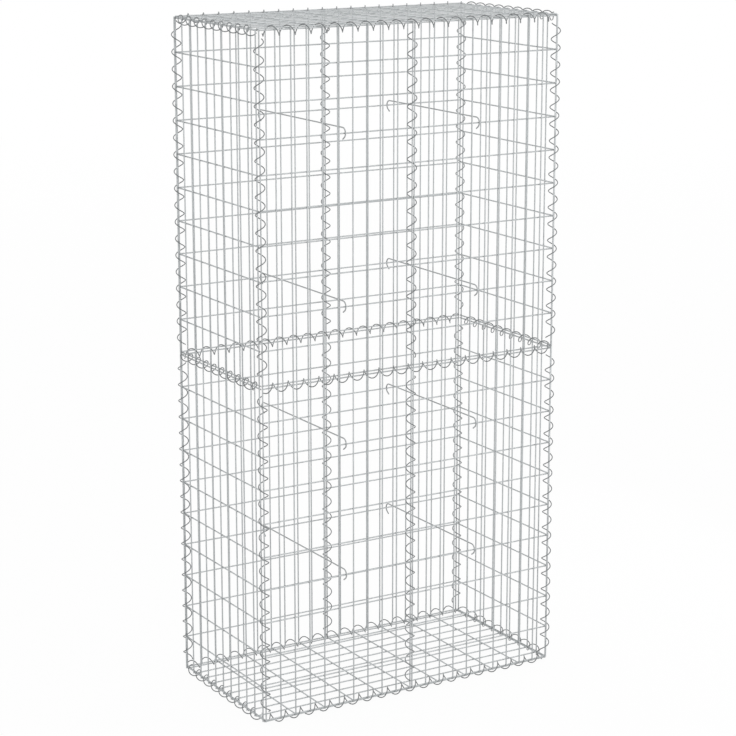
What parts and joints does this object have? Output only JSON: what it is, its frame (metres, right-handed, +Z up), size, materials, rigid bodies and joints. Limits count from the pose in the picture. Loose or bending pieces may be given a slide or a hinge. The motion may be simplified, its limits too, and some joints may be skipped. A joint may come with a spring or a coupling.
{
  "type": "gabion wall",
  "caption": "Tall empty gabion basket of welded wire panels with a base and a lid, laced along every edge by helical binders and held front to back by hooked tie wires.",
  "frame": {"origin": "middle of the footprint, at the level of the lowest binder loops", "axes": "+X along the wall to the right, +Y from front to back, +Z up"},
  "size_m": [1.035, 0.5302, 2.016],
  "materials": {
    "mesh_wire": "galvanised",
    "binder_wire": "galvanised",
    "tie_wire": "galvanised"
  },
  "bodies": {
    "root": {"base_back_binder": "binder_wire", "base_front_binder": "binder_wire", "base_left_binder": "binder_wire", "base_panel": "mesh_wire", "base_right_binder": "binder_wire", "lid_back_binder": "binder_wire", "lid_front_binder": "binder_wire", "lid_left_binder": "binder_wire", "lid_panel": "mesh_wire", "lid_right_binder": "binder_wire", "lower_back_left_binder": "binder_wire", "lower_back_left_panel": "mesh_wire", "lower_back_middle_binder": "binder_wire", "lower_back_right_binder": "binder_wire", "lower_back_right_panel": "mesh_wire", "lower_front_left_binder": "binder_wire", "lower_front_left_panel": "mesh_wire", "lower_front_middle_binder": "binder_wire", "lower_front_right_binder": "binder_wire", "lower_front_right_panel": "mesh_wire", "lower_left_side_panel": "mesh_wire", "lower_right_side_panel": "mesh_wire", "lower_tie_wires": "tie_wire", "middle_back_binder": "binder_wire", "middle_front_binder": "binder_wire", "middle_left_binder": "binder_wire", "middle_right_binder": "binder_wire", "upper_back_left_binder": "binder_wire", "upper_back_left_panel": "mesh_wire", "upper_back_middle_binder": "binder_wire", "upper_back_right_binder": "binder_wire", "upper_back_right_panel": "mesh_wire", "upper_front_left_binder": "binder_wire", "upper_front_left_panel": "mesh_wire", "upper_front_middle_binder": "binder_wire", "upper_front_right_binder": "binder_wire", "upper_front_right_panel": "mesh_wire", "upper_left_side_panel": "mesh_wire", "upper_right_side_panel": "mesh_wire", "upper_tie_wires": "tie_wire"}
  },
  "joints": []
}
